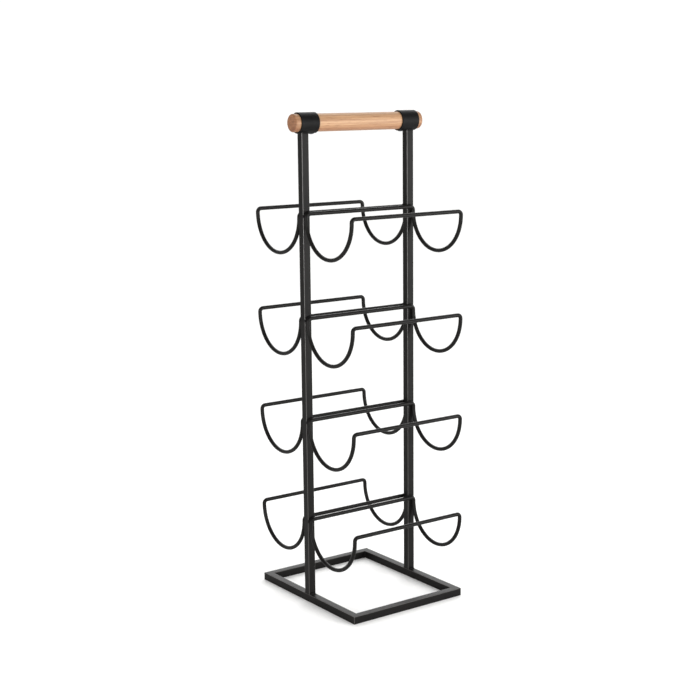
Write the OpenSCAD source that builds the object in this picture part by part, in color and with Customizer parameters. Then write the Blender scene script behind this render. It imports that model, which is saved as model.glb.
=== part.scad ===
// Free-standing wine rack. A mitred frame of square steel tube lies on the floor, two square
// posts rise from the middle of its front and rear bars, and four tiers of bent wire cradles are
// welded to the posts, one cradle each side. Each cradle is one closed wire: two straight rails
// and a round hoop at each end, in which a bottle lies. A wooden dowel in two steel collars on
// top of the posts is the carrying handle.
// X runs across the rack, Y along the bottles and the handle, Z up from the floor.

/* [Base frame] */
// Width of the base frame, across the cradles
base_w = 206; // [150:1:320]
// Depth of the base frame, along the bottles
base_d = 170; // [120:1:260]

/* [Square tube] */
// Side of the square tube of the base and the posts
tube = 10; // [8:0.5:14]
// Wall of the square tube
tube_wall = 1; // [0.8:0.1:2]
// Radius of the square tube's outer edges
tube_edge_r = 0.8; // [0.5:0.1:1.5]

/* [Wire cradles] */
// Diameter of the cradle wire
wire_d = 5; // [3:0.25:6]
// Clear width between the two rails of a cradle, a little more than a bottle
cradle_w = 90; // [80:1:120]
// Bend radius from rail to hoop, on the wire's centre line
bend_r = 4.5; // [4:0.5:7]
// Height of the lowest rails, on the wire's centre line
first_rail_z = 110; // [90:1:180]
// Height from the rails of one tier to the rails of the next
tier_pitch = 128.5; // [110:0.5:180]

/* [Handle] */
// Height of the handle's axis above the top rails, room for a hand
handle_rise = 109; // [70:1:160]
// Diameter of the wooden dowel
dowel_d = 22; // [18:0.5:32]
// Length of dowel that stands out of each collar
dowel_out = 7; // [4:0.5:20]
// Radius that eases the edges of the dowel's ends
dowel_ease_r = 2; // [0.5:0.25:4]
// Radial clearance between the dowel and its collars
dowel_fit = 0.1; // [0.05:0.05:0.3]

/* [Collars] */
// Wall of the round steel collars
collar_wall = 1.6; // [1:0.1:3]
// Length of each collar inboard of its post, where the handle's screw goes
collar_inboard = 12; // [10:0.5:16]
// Length of each collar outboard of its post
collar_outboard = 4; // [2.5:0.5:10]
// Chamfer on the collar's outer edges
collar_chamfer = 0.4; // [0.2:0.1:0.8]

/* [Handle screws] */
// Diameter of the screw's shank
screw_d = 3; // [2:0.5:4]
// Length of the shank below the head
screw_len = 12; // [8:1:16]
// Diameter of the domed head
screw_head_d = 6.5; // [5:0.25:7]
// Height of the head
screw_head_h = 1.2; // [1:0.1:2.5]
// Width of each slot of the cross recess
screw_slot_w = 0.8; // [0.5:0.1:1.2]
// Depth of the cross recess
screw_slot_h = 0.8; // [0.4:0.1:0.9]
// Radial clearance round the shank in the collar's wall
screw_fit = 0.25; // [0.1:0.05:0.4]

/* [Weld beads] */
// Radius of the beads in the base frame's inside corners
corner_bead_r = 2; // [1:0.25:4]
// Radius of the beads at the feet of the posts
foot_bead_r = 2.5; // [1:0.25:4]
// Radius of the beads between the posts and the collars
collar_bead_r = 1.8; // [1.2:0.1:2]
// Radius of the beads between the cradle wires and the posts
wire_bead_r = 1.2; // [0.8:0.1:1.5]

/* [Hidden] */
TIERS = ["bottom", "lower", "upper", "top"];
SIDES = ["left", "right"];
function cradle_name(tier, side) = str("cradle_", TIERS[tier], "_", SIDES[side]);
function cradle_welds_name(tier) = str("cradle_welds_", TIERS[tier]);
CRADLES = [for (tier = [0 : len(TIERS) - 1], side = [0, 1]) cradle_name(tier, side)];
CRADLE_WELDS = [for (tier = [0 : len(TIERS) - 1]) cradle_welds_name(tier)];
$fn = 64;
steel = "#26262a";
weld = "#1e1e21";
wood = "#cf9f70";
// overshoot of a cutting shape past the face that it cuts
cut = 1;

post_y = (base_d - tube) / 2;
rail_r = wire_d / 2;
hoop_r = (cradle_w + wire_d) / 2;
hoop_y = base_d / 2 - rail_r;
rail_half = hoop_y - bend_r;
inner_rail_x = tube / 2 + rail_r;
hoop_x = inner_rail_x + hoop_r;
handle_z = first_rail_z + (len(TIERS) - 1) * tier_pitch + handle_rise;
collar_bore_r = dowel_d / 2 + dowel_fit;
collar_r = collar_bore_r + collar_wall;
collar_len = collar_inboard + tube + collar_outboard;
collar_y = post_y + (collar_outboard - collar_inboard) / 2;
dowel_len = 2 * (collar_y + collar_len / 2 + dowel_out);
// the screw is in the middle of the collar's free underside, between its end and the weld
post_inner_y = post_y - tube / 2;
screw_y = post_inner_y - (collar_inboard + collar_bead_r) / 2;
// length of the screw head's cross recess, tip to tip
screw_slot_len = 0.6 * screw_head_d;
// height of the dome on the screw's head, and the radius that gives it
dome_rise = 0.6 * screw_head_h;
dome_r = (pow(screw_head_d / 2, 2) + pow(dome_rise, 2)) / (2 * dome_rise);
// middle of a wire bead: beside the wire, and just off the post's face
wire_bead_side = 0.9 * rail_r;
wire_bead_lift = 0.2 * rail_r;
// width of the flat part of a tube's face
flat_len = tube - 2 * tube_edge_r;

function rail_z(tier) = first_rail_z + tier * tier_pitch;
function sign_of(index) = index == 0 ? -1 : 1;

// ---- profiles ----

module rounded_rect(size, r) {
    square([size.x, size.y - 2 * r], center = true);
    square([size.x - 2 * r, size.y], center = true);
    for (sx = [-1, 1], sy = [-1, 1])
        translate([sx * (size.x / 2 - r), sy * (size.y / 2 - r)]) circle(r);
}

module tube_section() {
    difference() {
        rounded_rect([tube, tube], tube_edge_r);
        square(tube - 2 * tube_wall, center = true);
    }
}

module quarter_bead(r) {
    intersection() {
        circle(r);
        square(r);
    }
}

// turns a shape modelled along Z so that it lies along Y, centred at a place on the handle's axis
module along_handle(y) {
    translate([0, y, handle_z]) rotate([90, 0, 0]) children();
}

// ---- base frame ----

// a tube along X on the -Y side of a frame of the given span, with mitred ends
module mitred_bar(length, span) {
    intersection() {
        translate([0, (tube - span) / 2, tube / 2])
            rotate([90, 0, 90])
                linear_extrude(length, center = true) tube_section();
        linear_extrude(tube)
            polygon([
                [-length / 2, -span / 2],
                [length / 2, -span / 2],
                [length / 2 - tube, tube - span / 2],
                [tube - length / 2, tube - span / 2],
            ]);
        linear_extrude(tube) rounded_rect([length, span], tube_edge_r);
    }
}

module base_bar_front() {
    color(steel) mitred_bar(base_w, base_d);
}

module base_bar_rear() {
    color(steel) rotate(180) mitred_bar(base_w, base_d);
}

module base_bar_left() {
    color(steel) rotate(-90) mitred_bar(base_d, base_w);
}

module base_bar_right() {
    color(steel) rotate(90) mitred_bar(base_d, base_w);
}

// ---- posts, saddle-cut to the collars ----

module post(side) {
    color(steel) difference() {
        translate([0, side * post_y, tube]) linear_extrude(handle_z - tube) tube_section();
        along_handle(side * post_y) cylinder(r = collar_r, h = tube + 2 * cut, center = true);
    }
}

module post_front() {
    post(-1);
}

module post_rear() {
    post(1);
}

// ---- cradles: one closed wire each ----

module wire_section() {
    circle(rail_r);
}

// quarter bend from the end of a rail down into a hoop, in the plane of the rail
module rail_bend() {
    translate([0, rail_half, -bend_r])
        rotate([90, 0, 90])
            rotate_extrude(angle = 90) translate([bend_r, 0]) wire_section();
}

// half hoop that hangs between the two rails
module hoop() {
    translate([0, hoop_y, -bend_r])
        rotate([-90, 0, 0])
            rotate_extrude(angle = 180) translate([hoop_r, 0]) wire_section();
}

module cradle(tier, side) {
    color(steel) translate([sign_of(side) * hoop_x, 0, rail_z(tier)]) {
        for (x = [-hoop_r, hoop_r]) translate([x, 0, 0]) {
            rotate([90, 0, 0]) cylinder(r = rail_r, h = 2 * rail_half, center = true);
            rail_bend();
            mirror([0, 1, 0]) rail_bend();
        }
        hoop();
        mirror([0, 1, 0]) hoop();
    }
}

// ---- handle ----

module collar(side) {
    end = collar_len / 2;
    color(steel) difference() {
        along_handle(side * collar_y)
            rotate_extrude()
                polygon([
                    [collar_bore_r, -end],
                    [collar_r - collar_chamfer, -end],
                    [collar_r, collar_chamfer - end],
                    [collar_r, end - collar_chamfer],
                    [collar_r - collar_chamfer, end],
                    [collar_bore_r, end],
                ]);
        translate([0, side * screw_y, handle_z - collar_r - cut])
            cylinder(d = screw_d + 2 * screw_fit, h = collar_r + cut);
    }
}

module collar_front() {
    collar(-1);
}

module collar_rear() {
    collar(1);
}

module handle_dowel() {
    r = dowel_d / 2;
    end = dowel_len / 2;
    pilot_z = handle_z - collar_r - cut;
    color(wood) difference() {
        along_handle(0) rotate_extrude() {
            translate([0, -end]) square([r - dowel_ease_r, dowel_len]);
            translate([0, dowel_ease_r - end]) square([r, dowel_len - 2 * dowel_ease_r]);
            for (s = [-1, 1]) translate([r - dowel_ease_r, s * (end - dowel_ease_r)]) circle(dowel_ease_r);
        }
        for (s = [-1, 1]) translate([0, s * screw_y, pilot_z]) cylinder(d = screw_d, h = screw_len + cut);
    }
}

// domed head of a screw, below the face that it bears on
module screw_head() {
    intersection() {
        mirror([0, 0, 1]) cylinder(d = screw_head_d, h = screw_head_h);
        translate([0, 0, dome_r - screw_head_h]) sphere(dome_r);
    }
}

// round-head screws, driven up through the collars into the dowel
module handle_screws() {
    color(steel) for (s = [-1, 1]) translate([0, s * screw_y, handle_z - collar_r]) {
        cylinder(d = screw_d, h = screw_len);
        difference() {
            screw_head();
            for (turn = [0, 90]) rotate(turn)
                translate([0, 0, -screw_head_h])
                    cube([screw_slot_len, screw_slot_w, 2 * screw_slot_h], center = true);
        }
    }
}

// ---- weld beads ----

// one upright bead in each inside corner of the base frame
module base_corner_welds() {
    color(weld) for (turn = [0, 180], flip = [0, 1]) rotate(turn) mirror([flip, 0, 0])
        translate([tube - base_w / 2, tube - base_d / 2, tube_edge_r])
            linear_extrude(flat_len) quarter_bead(corner_bead_r);
}

// a bead on each side of each post, along the top of the bar that it stands on
module post_foot_welds() {
    color(weld) for (s = [-1, 1], flip = [0, 1]) mirror([flip, 0, 0])
        translate([tube / 2, s * post_y, tube])
            rotate([90, 0, 0])
                linear_extrude(flat_len, center = true) quarter_bead(foot_bead_r);
}

// beads between the four faces of each post's top and the collar that lies on it
module collar_welds() {
    color(weld) for (s = [-1, 1]) difference() {
        translate([0, s * post_y, handle_z - collar_r]) {
            for (flip = [0, 1]) mirror([flip, 0, 0])
                translate([tube / 2, 0, 0])
                    rotate([90, 0, 0])
                        linear_extrude(flat_len, center = true) side_bead();
            for (flip = [0, 1]) mirror([0, flip, 0])
                translate([0, tube / 2, 0])
                    rotate([90, 0, 90])
                        linear_extrude(flat_len, center = true) side_bead();
        }
        along_handle(s * collar_y) cylinder(r = collar_r, h = collar_len + 2 * cut, center = true);
    }
}

// half disc against the post, tall enough to reach the collar's curved underside
module side_bead() {
    intersection() {
        circle(collar_bead_r);
        translate([0, -collar_bead_r]) square([collar_bead_r, 2 * collar_bead_r]);
    }
}

// section of the bead on one side of the wire, where it lies against the post's face;
// x is the distance from the bend's centre, y the distance from the post's face
module wire_bead_section(outer) {
    difference() {
        intersection() {
            translate([bend_r + sign_of(outer) * wire_bead_side, wire_bead_lift])
                circle(wire_bead_r);
            square([2 * bend_r, wire_d]);
        }
        translate([bend_r, rail_r]) wire_section();
    }
}

// beads inside and outside a rail's bend, from the post's inner edge round to the hoop
module wire_beads() {
    straight = rail_half - post_inner_y;
    translate([0, rail_half, -bend_r]) rotate([90, 0, 90]) for (outer = [0, 1]) {
        rotate_extrude(angle = 90) wire_bead_section(outer);
        translate([-straight, 0, 0])
            rotate([90, 0, 90]) linear_extrude(straight) wire_bead_section(outer);
    }
}

module cradle_welds(tier) {
    color(weld) for (s = [0, 1], flip = [0, 1]) mirror([s, 0, 0]) mirror([0, flip, 0])
        translate([tube / 2, 0, rail_z(tier)]) wire_beads();
}

// ---- the assembly ----

base_bar_front();
base_bar_rear();
base_bar_left();
base_bar_right();
post_front();
post_rear();
for (tier = [0 : len(TIERS) - 1], side = [0, 1])
    cradle(tier, side);
collar_front();
collar_rear();
handle_dowel();
handle_screws();
base_corner_welds();
post_foot_welds();
collar_welds();
for (tier = [0 : len(TIERS) - 1])
    cradle_welds(tier);
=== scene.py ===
# %% [markdown]
# # A wine rack of black steel with a wooden handle
#
# The real rack is welded from 10 mm square tube and 5 mm wire, powder coated satin black, and
# carried by an oiled wooden dowel that sits in two round collars.
#
# Its steel is already modelled to exact sizes in the frame that is loaded here. So this lesson
# keeps those pieces and spends its time on what makes them look real: the coat on the steel, the
# growth rings in the wood, and the weld beads, which no plain solid can show.

# %% Load the frame
from math import pi, radians, sin

import bmesh
import bpy
from mathutils import Matrix, Vector


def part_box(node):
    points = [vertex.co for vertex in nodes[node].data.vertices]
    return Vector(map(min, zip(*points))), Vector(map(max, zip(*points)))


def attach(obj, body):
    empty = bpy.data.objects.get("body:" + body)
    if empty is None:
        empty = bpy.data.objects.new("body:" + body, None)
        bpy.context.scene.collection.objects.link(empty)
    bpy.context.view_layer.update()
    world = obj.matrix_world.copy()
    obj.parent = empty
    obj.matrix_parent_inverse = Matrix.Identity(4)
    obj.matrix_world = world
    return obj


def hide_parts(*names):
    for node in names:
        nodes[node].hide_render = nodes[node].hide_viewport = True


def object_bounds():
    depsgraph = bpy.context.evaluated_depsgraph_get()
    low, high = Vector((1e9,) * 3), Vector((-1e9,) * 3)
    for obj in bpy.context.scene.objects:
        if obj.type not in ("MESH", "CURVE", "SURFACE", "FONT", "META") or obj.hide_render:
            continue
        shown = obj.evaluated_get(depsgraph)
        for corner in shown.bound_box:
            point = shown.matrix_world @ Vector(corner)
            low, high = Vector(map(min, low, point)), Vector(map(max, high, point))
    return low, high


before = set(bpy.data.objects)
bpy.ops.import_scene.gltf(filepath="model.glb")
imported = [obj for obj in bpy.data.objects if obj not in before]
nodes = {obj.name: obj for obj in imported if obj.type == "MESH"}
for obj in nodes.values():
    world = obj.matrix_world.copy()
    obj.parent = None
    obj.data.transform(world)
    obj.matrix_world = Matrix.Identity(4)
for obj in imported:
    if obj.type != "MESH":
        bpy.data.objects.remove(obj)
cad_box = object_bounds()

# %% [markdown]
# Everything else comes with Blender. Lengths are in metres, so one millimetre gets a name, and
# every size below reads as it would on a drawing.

MM = 0.001
rack_low, rack_high = cad_box
print("rack", [round((high - low) / MM, 1) for low, high in zip(rack_low, rack_high)], "mm")

# %% [markdown]
# ## The camera
#
# A long lens from almost two metres keeps the uprights nearly parallel. The camera stands in
# front of the rack's right-hand side and a little above it. It could be aimed with a constraint,
# but four turns multiplied together say plainly where it is: swing round the rack, tip down,
# roll by half a degree, and back away.

# %% Camera
CAMERA_SWING = radians(54.12)
CAMERA_TIP = radians(10.88)
CAMERA_ROLL = radians(-0.53)
CAMERA_DISTANCE = 1.809
AIM_HEIGHT = 0.3044

camera_data = bpy.data.cameras.new("camera")
camera_data.sensor_width = 36
camera_data.lens = 72.97
camera_data.shift_x = -0.0126
camera_data.shift_y = 0.0143
camera = bpy.data.objects.new("camera", camera_data)
camera.matrix_world = (
    Matrix.Translation((0, 0, AIM_HEIGHT))
    @ Matrix.Rotation(CAMERA_SWING, 4, "Z")
    @ Matrix.Rotation(pi / 2 - CAMERA_TIP, 4, "X")
    @ Matrix.Rotation(CAMERA_ROLL, 4, "Z")
    @ Matrix.Translation((0, 0, CAMERA_DISTANCE))
)
bpy.context.scene.collection.objects.link(camera)
bpy.context.scene.camera = camera
print("camera at", [round(v, 3) for v in camera.matrix_world.translation])

# %% [markdown]
# ## Colours and nodes
#
# A colour is easiest to pick as a web colour, but shaders count light, so one function turns the
# two digits of each channel to linear light. One more function adds a shader node. It takes the
# node's settings by name, and for each socket either a value or another node's output.

# %% Helpers for materials
def colour(web):
    """Linear red, green, blue and alpha of an sRGB web colour such as #204060."""
    channels = [int(web[i : i + 2], 16) / 255 for i in (1, 3, 5)]
    linear = [c / 12.92 if c <= 0.04045 else ((c + 0.055) / 1.055) ** 2.4 for c in channels]
    return (*linear, 1)


def add(tree, kind, sockets=None, **settings):
    """Adds a node with its settings. A socket gets a value, or a link if it is given an output."""
    node = tree.nodes.new(kind)
    for name, value in settings.items():
        setattr(node, name, value)
    for socket, value in (sockets or {}).items():
        if isinstance(value, bpy.types.NodeSocket):
            tree.links.new(value, node.inputs[socket])
        else:
            node.inputs[socket].default_value = value
    return node


def new_material(name):
    """A material with only its output and a Principled shader, and its node tree."""
    material = bpy.data.materials.new(name)
    material.use_nodes = True
    tree = material.node_tree
    return material, tree, tree.nodes["Principled BSDF"]


print("a middle grey is", round(colour("#808080")[0], 3), "in linear light")

# %% [markdown]
# ## Powder coat on steel
#
# The coat is a polyester powder, sprayed dry and baked until it flows. On the outer edges of a
# tube the melted powder pulls away and the coat is thin, so an edge looks glossier. It is also
# given a greyer colour, which is partly the thin coat and partly a painted highlight.
#
# An edge could be found with a Bevel node. But the tubes are square to the axes: their faces
# point along X, Y or Z, and only a rounded edge points anywhere else. So the largest part of the
# normal is one on a face and less on an edge, which gives a clean mask.

# %% A mask of the tubes' edges
FACE_NORMAL = 0.97  # a normal whose largest part is more than this is on a face
EDGE_NORMAL = 0.75  # and one whose largest part is less than this is in the middle of an edge


def edge_mask(tree, place):
    """Nought on the faces of a square tube, rising to one on its rounded edges."""
    facing = add(tree, "ShaderNodeVectorMath", {0: place.outputs["Normal"]}, operation="ABSOLUTE")
    parts = add(tree, "ShaderNodeSeparateXYZ", {0: facing.outputs[0]})
    wider = add(
        tree, "ShaderNodeMath", {0: parts.outputs[0], 1: parts.outputs[1]}, operation="MAXIMUM"
    )
    widest = add(
        tree, "ShaderNodeMath", {0: wider.outputs[0], 1: parts.outputs[2]}, operation="MAXIMUM"
    )
    edge = add(
        tree, "ShaderNodeMapRange",
        {"Value": widest.outputs[0], "From Min": FACE_NORMAL, "From Max": EDGE_NORMAL},
    )
    return edge.outputs[0]


print("an edge starts where the normal's largest part falls below", FACE_NORMAL)

# %% [markdown]
# The coat is nearly black, and it has the two marks of the process: a slow waviness called
# orange peel, about 2 mm from crest to crest, and the fine grain of the powder that didn't flow
# out. Both are height, so they go into the bump, and the grain also changes the roughness a
# little. A faint dusty tone drifts over some centimetres.
#
# The coat reflects much less than a clear gloss would, so its specular level is low. On wire,
# collars and beads it is the same all over, and is a plain number on the shader. Only the square
# tube has edges to thin on, and there the roughness and the specular level follow the mask. So
# does a lighter colour, partly for the thin coat and partly a painted highlight along the edge.

# %% Powder coat
NOISE_CYCLES = 1.0  # a noise texture of scale 1 has about one bump for each metre
ORANGE_PEEL = 2 * MM
PEEL_HEIGHT = 0.25 * MM
POWDER_GRAIN = 0.5 * MM  # finer on the real coat, and this coarse here so that it shows
DUST = 25 * MM
DUST_SHARE = 0.35
SHEEN = 0.1  # specular level of the coat
EDGE_SHEEN = 1  # and where it is thin
EDGE_GLOSS = -0.22  # added to the roughness on an edge
GRAIN_MATT = 0.08  # how far the grain moves the roughness up or down


def powder_coat(name, body, roughness, grain_height, has_edges=False):
    """Satin black powder coat. has_edges says that it lies on square tube with rounded edges."""
    material, tree, shader = new_material(name)
    place = add(tree, "ShaderNodeTexCoord")
    peel, grain, cloudy = [
        add(
            tree, "ShaderNodeTexNoise",
            {"Vector": place.outputs["Object"], "Scale": NOISE_CYCLES / size, "Detail": detail},
        )
        for size, detail in ((ORANGE_PEEL, 1.0), (POWDER_GRAIN, 2.0), (DUST, 2.0))
    ]
    dusty = add(
        tree, "ShaderNodeMapRange",
        {
            "Value": cloudy.outputs["Fac"], "From Min": 0.35, "From Max": 0.75,
            "To Min": 0, "To Max": DUST_SHARE,
        },
    )
    coat = add(
        tree, "ShaderNodeMix",
        {0: dusty.outputs[0], 6: colour(body), 7: colour("#1a1817")},
        data_type="RGBA",
    )
    matt = add(
        tree, "ShaderNodeMapRange",
        {
            "Value": grain.outputs["Fac"],
            "To Min": roughness - GRAIN_MATT, "To Max": roughness + GRAIN_MATT,
        },
    )
    wavy = add(
        tree, "ShaderNodeBump",
        {"Height": peel.outputs["Fac"], "Strength": 0.8, "Distance": PEEL_HEIGHT},
    )
    grainy = add(
        tree, "ShaderNodeBump",
        {
            "Height": grain.outputs["Fac"], "Strength": 0.5, "Distance": grain_height,
            "Normal": wavy.outputs[0],
        },
    )
    tree.links.new(coat.outputs[2], shader.inputs["Base Color"])
    tree.links.new(matt.outputs[0], shader.inputs["Roughness"])
    tree.links.new(grainy.outputs[0], shader.inputs["Normal"])
    shader.inputs["Specular IOR Level"].default_value = SHEEN
    shader.inputs["IOR"].default_value = 1.5
    if has_edges:
        thin_coat_and_highlight_edges(tree, shader, edge_mask(tree, place), coat.outputs[2], matt.outputs[0])
    return material


def thin_coat_and_highlight_edges(tree, shader, edge, coat, matt):
    """Turns the coat glossier where the mask finds a rounded edge, and greyer there: partly a
    thinner coat, partly a painted highlight.
    """
    # the lighter edge colour is partly thin coat and partly a painted highlight on the rounded edge
    thin_coat_highlight = add(
        tree, "ShaderNodeMix", {0: edge, 6: coat, 7: colour("#3a3633")}, data_type="RGBA"
    )
    glossier = add(
        tree, "ShaderNodeMath", {0: edge, 1: EDGE_GLOSS, 2: matt}, operation="MULTIPLY_ADD"
    )
    shine = add(
        tree, "ShaderNodeMapRange", {"Value": edge, "To Min": SHEEN, "To Max": EDGE_SHEEN}
    )
    tree.links.new(thin_coat_highlight.outputs[2], shader.inputs["Base Color"])
    tree.links.new(glossier.outputs[0], shader.inputs["Roughness"])
    tree.links.new(shine.outputs[0], shader.inputs["Specular IOR Level"])


# %% [markdown]
# One powder covers the whole rack, but it doesn't lie alike. It flows out best on the thin hot
# wire, and it stays mattest on the rough weld beads. The collars and the beads are also given a
# darker body colour than tube and wire, which is painted shade.

# %% Four coats
tube_coat = powder_coat("powder_coated_tube", "#0b0a09", 0.5, 0.03 * MM, has_edges=True)
wire_coat = powder_coat("powder_coated_wire", "#0b0a09", 0.42, 0.02 * MM)
# collars and beads get a darker body colour than tube and wire as painted shade
shaded_collar_coat = powder_coat("powder_coated_collar", "#050505", 0.56, 0.03 * MM)
shaded_bead_coat = powder_coat("powder_coated_weld_shaded", "#060505", 0.6, 0.03 * MM)
print("steel finishes", [m.name for m in (tube_coat, wire_coat, shaded_collar_coat, shaded_bead_coat)])

# %% [markdown]
# ## Wood for the handle
#
# The dowel is turned from a board, so it is a thin rod out of a much wider set of growth rings.
# The cheap way is a stripe on the side and another pattern on the ends. Here the wood is solid:
# the rings are wavy cylinders round a pith that lies well outside the dowel, and the surface
# simply cuts them. They run as long streaks on the side and as short arcs on the ends, and they
# meet at the eased edge as they do in real wood.
#
# All the other marks work in the same way. Noise that is stretched along the grain shows as
# streaks, fibres and open pores on the side, and as dots on the end.

# %% How the grain runs
PITH_ACROSS = 10 * MM  # from the dowel's axis
PITH_BELOW = 45 * MM
ALONG = 0.035  # how much slower a pattern changes along the grain than across it
WANDER = 7 * MM  # how far a ring strays from a true circle
WANDER_SIZE = 9 * MM

dowel_low, dowel_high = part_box("handle_dowel")


def grain_paths(tree, place):
    """Coordinates that are slow along the grain, and the distance from the pith to a ring."""
    pith_z = (dowel_low.z + dowel_high.z) / 2 - PITH_BELOW
    from_pith = add(
        tree, "ShaderNodeVectorMath",
        {0: place.outputs["Object"], 1: (PITH_ACROSS, 0, pith_z)},
        operation="SUBTRACT",
    )
    slow, across = [
        add(tree, "ShaderNodeVectorMath", {0: from_pith.outputs[0], 1: share}, operation="MULTIPLY")
        for share in ((1, ALONG, 1), (1, 0, 1))
    ]
    wander = add(
        tree, "ShaderNodeTexNoise",
        {"Vector": slow.outputs[0], "Scale": NOISE_CYCLES / WANDER_SIZE, "Detail": 2.0},
    )
    radius = add(tree, "ShaderNodeVectorMath", {0: across.outputs[0]}, operation="LENGTH")
    ring = add(
        tree, "ShaderNodeMath",
        {0: wander.outputs["Fac"], 1: WANDER, 2: radius.outputs["Value"]},
        operation="MULTIPLY_ADD",
    )
    return slow.outputs[0], ring.outputs[0]


print("dowel", round((dowel_high.y - dowel_low.y) / MM), "mm long")

# %% [markdown]
# Each ring fades from pale early wood to darker late wood and then starts again. That is what the
# fraction does when the distance from the pith is counted in rings. Darker mineral streaks lie
# over the rings. Near the pith the board turns darker and redder, and the pith lies below the
# dowel, so this is painted shade that darkens the dowel's lower side.

# %% Rings, streaks and painted shade below
RING_WIDTH = 3.2 * MM
LATE_ONSET = 2.6  # the higher, the more of a ring is early wood
STREAK_WIDTH = 4 * MM
# where painted shade darkens the wood near the pith, which falls on the dowel's lower side
LOWER_SHADE_RADIUS = 41 * MM
LOWER_SHADE_FADE = 5 * MM


def board_colour(tree, grain, ring):
    """The colour of the plain board, with painted shade on its lower side, before fibres and pores.
    """
    rings = add(tree, "ShaderNodeMath", {0: ring, 1: RING_WIDTH}, operation="DIVIDE")
    season = add(tree, "ShaderNodeMath", {0: rings.outputs[0]}, operation="FRACT")
    late = add(
        tree, "ShaderNodeMath", {0: season.outputs[0], 1: LATE_ONSET}, operation="POWER"
    )
    seasons = add(
        tree, "ShaderNodeMix",
        {0: late.outputs[0], 6: colour("#a98563"), 7: colour("#936d4e")},
        data_type="RGBA",
    )
    streak = add(
        tree, "ShaderNodeTexNoise",
        {"Vector": grain, "Scale": NOISE_CYCLES / STREAK_WIDTH, "Detail": 3.0},
    )
    dark_streak = add(
        tree, "ShaderNodeMapRange",
        {"Value": streak.outputs["Fac"], "From Min": 0.46, "From Max": 0.74, "To Max": 0.7},
    )
    streaked = add(
        tree, "ShaderNodeMix",
        {0: dark_streak.outputs[0], 6: seasons.outputs[2], 7: colour("#7f5a3f")},
        data_type="RGBA",
    )
    # painted shade: the wood turns darker and redder near the pith below the dowel, so its lower
    # side is darker
    lower_shade = add(
        tree, "ShaderNodeMapRange",
        {
            "Value": ring, "To Max": 0.55,
            "From Min": LOWER_SHADE_RADIUS + LOWER_SHADE_FADE, "From Max": LOWER_SHADE_RADIUS,
        },
    )
    shaded_below = add(
        tree, "ShaderNodeMix",
        {0: lower_shade.outputs[0], 6: streaked.outputs[2], 7: colour("#80543b")},
        data_type="RGBA",
    )
    return shaded_below.outputs[2]


print("about", round((dowel_high.z - dowel_low.z) / RING_WIDTH), "rings cross the dowel")

# %% [markdown]
# Under the sanded surface lie fibres and cut pores. The fibres vary the tone and the sheen, and
# stand a little proud. The pores are short dark dashes that are open, so their bump points in.

# %% Fibres and pores
FIBRE_WIDTH = 0.35 * MM  # both are finer on real wood, and this coarse here so that they show
PORE_WIDTH = 0.5 * MM
FIBRE_HEIGHT = 0.04 * MM
PORE_DEPTH = 0.08 * MM


def fibres_and_pores(tree, grain, board):
    """The colour, the roughness and the normal of the sanded side of the dowel."""
    fibre, pore = [
        add(
            tree, "ShaderNodeTexNoise",
            {"Vector": grain, "Scale": NOISE_CYCLES / width, "Detail": detail},
        )
        for width, detail in ((FIBRE_WIDTH, 2.0), (PORE_WIDTH, 1.0))
    ]
    open_pore = add(
        tree, "ShaderNodeMapRange",
        {"Value": pore.outputs["Fac"], "From Min": 0.64, "From Max": 0.74},
    )
    fibre_tone = add(
        tree, "ShaderNodeMapRange",
        {
            "Value": fibre.outputs["Fac"], "From Min": 0.3, "From Max": 0.7,
            "To Min": 0.86, "To Max": 1.08,
        },
    )
    fibrous = add(
        tree, "ShaderNodeVectorMath", {0: board, "Scale": fibre_tone.outputs[0]}, operation="SCALE"
    )
    pored = add(
        tree, "ShaderNodeMix",
        {0: open_pore.outputs[0], 6: fibrous.outputs[0], 7: colour("#6f4c34")},
        data_type="RGBA",
    )
    satin = add(
        tree, "ShaderNodeMapRange",
        {"Value": fibre.outputs["Fac"], "To Min": 0.42, "To Max": 0.62},
    )
    fibre_bump = add(
        tree, "ShaderNodeBump",
        {"Height": fibre.outputs["Fac"], "Strength": 0.4, "Distance": FIBRE_HEIGHT},
    )
    pore_bump = add(
        tree, "ShaderNodeBump",
        {
            "Height": open_pore.outputs[0], "Strength": 0.5, "Distance": PORE_DEPTH,
            "Normal": fibre_bump.outputs[0],
        },
        invert=True,
    )
    return pored.outputs[2], satin.outputs[0], pore_bump.outputs[0]


print("fibres", FIBRE_WIDTH / MM, "mm wide, pores", PORE_WIDTH / MM, "mm")

# %% [markdown]
# Oil soaks deep into end grain and makes it darker and redder. It also creeps in along the grain
# from each end, so the last millimetres of the side are tinted too. The first is found from the
# normal, which points along Y on an end, and the second from the place along Y.

# %% Oil in the ends
SOAKED_LENGTH = 9 * MM  # how far the oil has crept in from an end
SOAKED_TINT = (0.52, 0.36, 0.29)  # share of red, green and blue that soaked wood keeps


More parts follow.
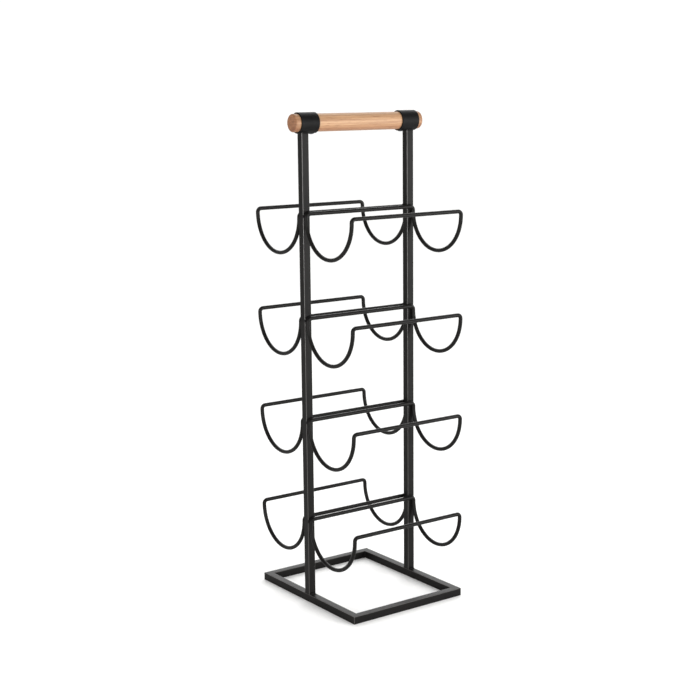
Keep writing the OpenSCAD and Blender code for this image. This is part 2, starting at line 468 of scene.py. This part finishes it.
def oiled_ends(tree, place, board):
    """The board's colour with oil soaked into both ends of the dowel."""
    facing = add(tree, "ShaderNodeSeparateXYZ", {0: place.outputs["Normal"]})
    where = add(tree, "ShaderNodeSeparateXYZ", {0: place.outputs["Object"]})
    endwise, from_middle = [
        add(tree, "ShaderNodeMath", {0: split.outputs[1]}, operation="ABSOLUTE")
        for split in (facing, where)
    ]
    end_grain = add(
        tree, "ShaderNodeMapRange",
        {"Value": endwise.outputs[0], "From Min": 0.25, "From Max": 0.95, "To Max": 0.85},
    )
    crept_in = add(
        tree, "ShaderNodeMapRange",
        {
            "Value": from_middle.outputs[0], "To Max": 0.5,
            "From Min": dowel_high.y - SOAKED_LENGTH, "From Max": dowel_high.y - SOAKED_LENGTH / 3,
        },
    )
    soaking = add(
        tree, "ShaderNodeMath",
        {0: end_grain.outputs[0], 1: crept_in.outputs[0]},
        operation="MAXIMUM",
    )
    soaked = add(tree, "ShaderNodeVectorMath", {0: board, 1: SOAKED_TINT}, operation="MULTIPLY")
    wood = add(
        tree, "ShaderNodeMix", {0: soaking.outputs[0], 6: board, 7: soaked.outputs[0]},
        data_type="RGBA",
    )
    return wood.outputs[2]


print("oil starts", round((dowel_high.y - SOAKED_LENGTH) / MM), "mm from the middle")

# %% [markdown]
# The finish puts these together. Oil leaves a low sheen and no film, so the specular level is
# lower than a varnish would have.

# %% Oiled wood
def handle_wood():
    """Light brown hardwood, sanded and oiled, with its grain along Y."""
    material, tree, shader = new_material("oiled_hardwood")
    place = add(tree, "ShaderNodeTexCoord")
    grain, ring = grain_paths(tree, place)
    board = board_colour(tree, grain, ring)
    sanded, satin, relief = fibres_and_pores(tree, grain, board)
    oiled = oiled_ends(tree, place, sanded)
    tree.links.new(oiled, shader.inputs["Base Color"])
    tree.links.new(satin, shader.inputs["Roughness"])
    tree.links.new(relief, shader.inputs["Normal"])
    shader.inputs["IOR"].default_value = 1.5
    shader.inputs["Specular IOR Level"].default_value = 0.35
    return material


wood = handle_wood()
print("handle finish", wood.name)

# %% [markdown]
# ## Black screws
#
# The two screws under the collars are hardened steel, turned black in a hot salt bath. The black
# is the steel's own skin, so it stays a metal: dark, a little blue, and smoother than the coat.

# %% Black oxide
MOTTLE = 0.8 * MM


def black_oxide():
    """Black oxide on a steel screw, slightly mottled and pitted by the bath."""
    material, tree, shader = new_material("black_oxide_steel")
    place = add(tree, "ShaderNodeTexCoord")
    mottle = add(
        tree, "ShaderNodeTexNoise",
        {"Vector": place.outputs["Object"], "Scale": NOISE_CYCLES / MOTTLE, "Detail": 3.0},
    )
    tone = add(
        tree, "ShaderNodeMix",
        {0: mottle.outputs["Fac"], 6: colour("#2a2b2e"), 7: colour("#46474b")},
        data_type="RGBA",
    )
    polish = add(
        tree, "ShaderNodeMapRange",
        {"Value": mottle.outputs["Fac"], "To Min": 0.3, "To Max": 0.5},
    )
    pitted = add(
        tree, "ShaderNodeBump",
        {"Height": mottle.outputs["Fac"], "Strength": 0.3, "Distance": 0.02 * MM},
    )
    tree.links.new(tone.outputs[2], shader.inputs["Base Color"])
    tree.links.new(polish.outputs[0], shader.inputs["Roughness"])
    tree.links.new(pitted.outputs[0], shader.inputs["Normal"])
    shader.inputs["Metallic"].default_value = 1
    return material


screw_finish = black_oxide()
print("screw finish", screw_finish.name)

# %% [markdown]
# ## Finish the steel and the handle
#
# The frame's own pieces keep their meshes. Each has one material slot, and the new finish is put
# into it. The frame's plain welds get the finish of the beads that will stand for them.

# %% Finishes on the frame's pieces
def finish_of(name):
    """The finish that belongs on one of the frame's pieces."""
    if "_welds" in name:
        return shaded_bead_coat
    if name.startswith("cradle_"):
        return wire_coat
    if name.startswith("collar_"):
        return shaded_collar_coat
    return {"handle_dowel": wood, "handle_screws": screw_finish}.get(name, tube_coat)


for name, piece in nodes.items():
    for slot in piece.material_slots:
        slot.material = finish_of(name)
print("finished", len(nodes), "pieces")

# %% [markdown]
# ## Weld beads
#
# A weld bead is laid as a row of small pools of melted steel, each half over the last. It could
# be a bumpy texture on a smooth strip, but its outline is lumpy too. So a bead is built as it is
# laid: ring after ring along a path, each ring a little wider or narrower than the last, and the
# first and the last drawn in.

# %% How thick a bead is
RIPPLE = 1.3 * MM  # from one pool of steel to the next
SWELL = 0.10  # how far a pool stands out, as a share of the bead's radius
UNSTEADY = 0.05  # how far the welder's hand strays, as a share of the bead's radius
UNSTEADY_TURNS = 2.3 / MM
FIRST_POOL = 0.37  # of a pool, by which each bead starts later than the one before
DRAWN_IN = 0.45  # radius of the first and last ring, as a share of the bead's radius


def bead_radius(done, length, radius, seed):
    """Radius of the bead when a distance of its length has been laid."""
    pool = (done / RIPPLE + FIRST_POOL * seed) % 1
    swell = 1 + SWELL * (sin(pi * pool) - 0.5) + UNSTEADY * sin(UNSTEADY_TURNS * done + seed)
    end = min(done, length - done, radius) / radius
    return radius * swell * (DRAWN_IN + (1 - DRAWN_IN) * (1 - (1 - end) ** 2) ** 0.5)


print("a bead of 2 mm is", round(bead_radius(4 * MM, 8 * MM, 2 * MM, 0) / MM, 2), "mm half way")

# %% [markdown]
# The rings are bridged, and the whole bead is one closed skin. Most of each ring is buried in
# the pieces that it joins, and only the outer part shows.

# %% A bead, ring by ring
RING_STEP = 0.22 * MM
RING_SIDES = 14
LEAST_RINGS = 6


def lay_bead(mesh, length, radius, seed, station):
    """Lays a closed bead in a bmesh. station(distance) places and turns each ring."""
    count = max(LEAST_RINGS, round(length / RING_STEP))
    last = None
    for i in range(count + 1):
        done = length * i / count
        ring = bmesh.ops.create_circle(
            mesh,
            cap_ends=i in (0, count),
            segments=RING_SIDES,
            radius=bead_radius(done, length, radius, seed),
            matrix=station(done),
        )
        verts = set(ring["verts"])
        edges = [e for e in mesh.edges if e.verts[0] in verts and e.verts[1] in verts]
        if last:
            bmesh.ops.bridge_loops(mesh, edges=last + edges)
        last = edges


def make_piece(name, mesh, replaced):
    """Turns a bmesh of beads into a shaded piece that rides on the rack and stands for a node."""
    bmesh.ops.recalc_face_normals(mesh, faces=mesh.faces)
    for face in mesh.faces:
        face.smooth = True
    data = bpy.data.meshes.new(name)
    mesh.to_mesh(data)
    mesh.free()
    data.materials.append(shaded_bead_coat)
    piece = bpy.data.objects.new(name, data)
    bpy.context.scene.collection.objects.link(piece)
    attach(piece, "root")
    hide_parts(replaced)
    print(name, len(data.polygons), "faces")


# %% [markdown]
# ### Beads on the base frame
#
# Each inside corner of the base has one upright bead, and each post has a bead along its left and
# right foot. Their places come from the tubes that they join.

# %% Base and foot beads
CORNER_BEAD = 1.8 * MM  # radius
FOOT_BEAD = 2.3 * MM
EDGE = 0.8 * MM  # radius of the tube's edges, where a bead can't hold
MIRRORS = [(sx, sy) for sx in (-1, 1) for sy in (-1, 1)]
ALONG_Y = Matrix.Rotation(pi / 2, 4, "X")  # turns a level ring to stand across Y

post_low, post_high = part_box("post_front")
TUBE = post_high.x - post_low.x
post_y = abs(post_low.y + post_high.y) / 2
half_flat = TUBE / 2 - EDGE
inner_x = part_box("base_bar_right")[0].x
inner_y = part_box("base_bar_rear")[0].y

corner_beads = bmesh.new()
foot_beads = bmesh.new()
for seed, (sx, sy) in enumerate(MIRRORS):
    corner = Vector((sx * inner_x, sy * inner_y, EDGE))
    lay_bead(
        corner_beads, 2 * half_flat, CORNER_BEAD, seed,
        lambda done: Matrix.Translation(corner + Vector((0, 0, done))),
    )
    foot = Vector((sx * TUBE / 2, sy * post_y - half_flat, TUBE))
    lay_bead(
        foot_beads, 2 * half_flat, FOOT_BEAD, seed + len(MIRRORS),
        lambda done: Matrix.Translation(foot + Vector((0, done, 0))) @ ALONG_Y,
    )
make_piece("base_corner_beads", corner_beads, "base_corner_welds")
make_piece("post_foot_beads", foot_beads, "post_foot_welds")

# %% [markdown]
# ### Beads under the collars
#
# The posts are cut to the round of the collar. On the post's left and right the bead runs level.
# On its front and back it follows the collar's belly, so its path is an arc round the handle.

# %% Collar beads
COLLAR_BEAD = 1.2 * MM  # radius

collar_low, collar_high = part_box("collar_front")
collar_r = (collar_high.x - collar_low.x) / 2
collar_z = (collar_high.z + collar_low.z) / 2
side_drop = (collar_r**2 - (TUBE / 2) ** 2) ** 0.5
arc = half_flat / collar_r  # half the angle that the bead takes round the collar

collar_beads = bmesh.new()
for seed, (sx, sy) in enumerate(MIRRORS):
    start = Vector((sx * TUBE / 2, sy * post_y - half_flat, collar_z - side_drop))
    lay_bead(
        collar_beads, 2 * half_flat, COLLAR_BEAD, seed,
        lambda done: Matrix.Translation(start + Vector((0, done, 0))) @ ALONG_Y,
    )
    face_y = sy * post_y + sx * TUBE / 2
    lay_bead(
        collar_beads, 2 * half_flat, COLLAR_BEAD, seed + len(MIRRORS),
        lambda done: Matrix.Translation((0, face_y, collar_z))
        @ Matrix.Rotation(done / collar_r - arc, 4, "Y")
        @ Matrix.Translation((0, 0, -collar_r))
        @ Matrix.Rotation(pi / 2, 4, "Y"),
    )
make_piece("collar_beads", collar_beads, "collar_welds")

# %% [markdown]
# ### Beads on the cradles
#
# A rail ends in a small bend beside its post, and turns down into the hoop. The welder runs one
# bead on each side of the wire, along the last straight millimetres and then round the bend. So
# the place of a ring is worked out from the distance laid: first it moves along the straight,
# and from there it turns round the bend's centre.

# %% The path of a cradle bead
CRADLE_BEAD = 1.15 * MM  # radius
WIRE = 5 * MM
BEND = 4.5 * MM
BESIDE = 0.9 * WIRE / 2  # from the wire's middle to the bead's middle
LIFT = 0.1 * WIRE  # from the post's face to the bead's middle

bend_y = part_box("cradle_top_right")[1].y - WIRE / 2 - BEND
straight = bend_y - (post_y - TUBE / 2)


def beside_wire(rail_z, sx, sy, bend_radius):
    """The stations of a bead that runs beside a rail and round its bend."""
    centre = Matrix.Translation((sx * (TUBE / 2 + LIFT), sy * bend_y, rail_z - BEND))

    def station(done):
        short_of_bend = min(done - straight, 0)
        angle = max(done - straight, 0) / bend_radius
        return (
            centre
            @ Matrix.Translation((0, sy * short_of_bend, 0))
            @ Matrix.Rotation(-sy * angle, 4, "X")
            @ Matrix.Translation((0, 0, bend_radius))
            @ ALONG_Y
        )

    return station


print("a rail runs", round(straight / MM, 1), "mm along its post before the bend")

# %% [markdown]
# Each tier has two rails at each post, and each rail has a bead above and a bead below it. They
# differ only in where they start in the row of pools.

# %% Cradle beads
TIERS = ("bottom", "lower", "upper", "top")

for tier in TIERS:
    rail_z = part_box(f"cradle_{tier}_right")[1].z - WIRE / 2
    cradle_beads = bmesh.new()
    for seed, (sx, sy) in enumerate(MIRRORS):
        for outer in (-1, 1):
            bend_radius = BEND + outer * BESIDE
            lay_bead(
                cradle_beads, straight + bend_radius * pi / 2, CRADLE_BEAD,
                seed + outer + TIERS.index(tier), beside_wire(rail_z, sx, sy, bend_radius),
            )
    make_piece(f"cradle_beads_{tier}", cradle_beads, f"cradle_welds_{tier}")

# %% [markdown]
# ## Floor
#
# The rack stands on a plain white sheet that runs far past the view. It could be a curved sweep,
# but with an even white room behind it a flat sheet shows no horizon, and it takes the soft
# shadow of the base just as well.

# %% Floor
FLOOR_REACH = 200

floor_mesh = bmesh.new()
bmesh.ops.create_grid(floor_mesh, x_segments=1, y_segments=1, size=FLOOR_REACH)
floor_data = bpy.data.meshes.new("floor")
floor_mesh.to_mesh(floor_data)
floor_mesh.free()
floor = bpy.data.objects.new("floor", floor_data)
bpy.context.scene.collection.objects.link(floor)
paper, paper_tree, paper_shader = new_material("white_paper")
paper_shader.inputs["Base Color"].default_value = colour("#fdfdfc")
paper_shader.inputs["Roughness"].default_value = 0.9
paper_shader.inputs["Specular IOR Level"].default_value = 0.1
floor_data.materials.append(paper)
print("floor", 2 * FLOOR_REACH, "m wide")

# %% [markdown]
# ## Light
#
# A dark rack on white needs light that is soft but comes from few places, or its faces all look
# alike. A wide window of light stands behind the rack, so the bars' soft shadows fall towards
# the camera. A low panel at the right lights the sides of the tubes, and another beside the
# camera draws the thin bright line on the posts' near edges.

# %% Panels and window
def panel(name, side, rise, distance, size, watts):
    """A square soft panel that faces the rack. side is its angle round the rack from +X."""
    light = bpy.data.lights.new(name, "AREA")
    light.size = size
    light.energy = watts
    lamp = bpy.data.objects.new(name, light)
    lamp.matrix_world = (
        Matrix.Translation((0, 0, AIM_HEIGHT))
        @ Matrix.Rotation(side, 4, "Z")
        @ Matrix.Rotation(pi / 2 - rise, 4, "Y")
        @ Matrix.Translation((0, 0, distance))
    )
    bpy.context.scene.collection.objects.link(lamp)


panel("key_panel", side=radians(36), rise=radians(6), distance=2.4, size=1.2, watts=54)
panel("camera_panel", side=radians(-54), rise=radians(6), distance=3.0, size=1.0, watts=64)

WINDOW_SIDE = radians(144)
WINDOW_LEAN = radians(60)  # from straight overhead
window = bpy.data.lights.new("window", "SUN")
window.angle = radians(60)
window.energy = 2.5
window_lamp = bpy.data.objects.new("window", window)
window_lamp.matrix_world = (
    Matrix.Rotation(WINDOW_SIDE, 4, "Z") @ Matrix.Rotation(WINDOW_LEAN, 4, "Y")
)
bpy.context.scene.collection.objects.link(window_lamp)

# %% [markdown]
# The rest of the room is an even grey that fills the shadows. Seen directly it has to be white,
# like the floor, so the world has two strengths: one for the light it gives, and one for what is
# seen of it.

# %% Room
FILL = 0.62
BACKDROP = 1.05

room = bpy.data.worlds.new("room")
room.use_nodes = True
bpy.context.scene.world = room
room_tree = room.node_tree
seen = add(room_tree, "ShaderNodeLightPath")
fill, backdrop = [
    add(room_tree, "ShaderNodeBackground", {"Color": colour("#ffffff"), "Strength": strength})
    for strength in (FILL, BACKDROP)
]
either = add(
    room_tree, "ShaderNodeMixShader",
    {0: seen.outputs["Is Camera Ray"], 1: fill.outputs[0], 2: backdrop.outputs[0]},
)
room_tree.links.new(either.outputs[0], room_tree.nodes["World Output"].inputs["Surface"])
bpy.context.scene.view_settings.view_transform = "Standard"
print("room fill", FILL, "and backdrop", BACKDROP)
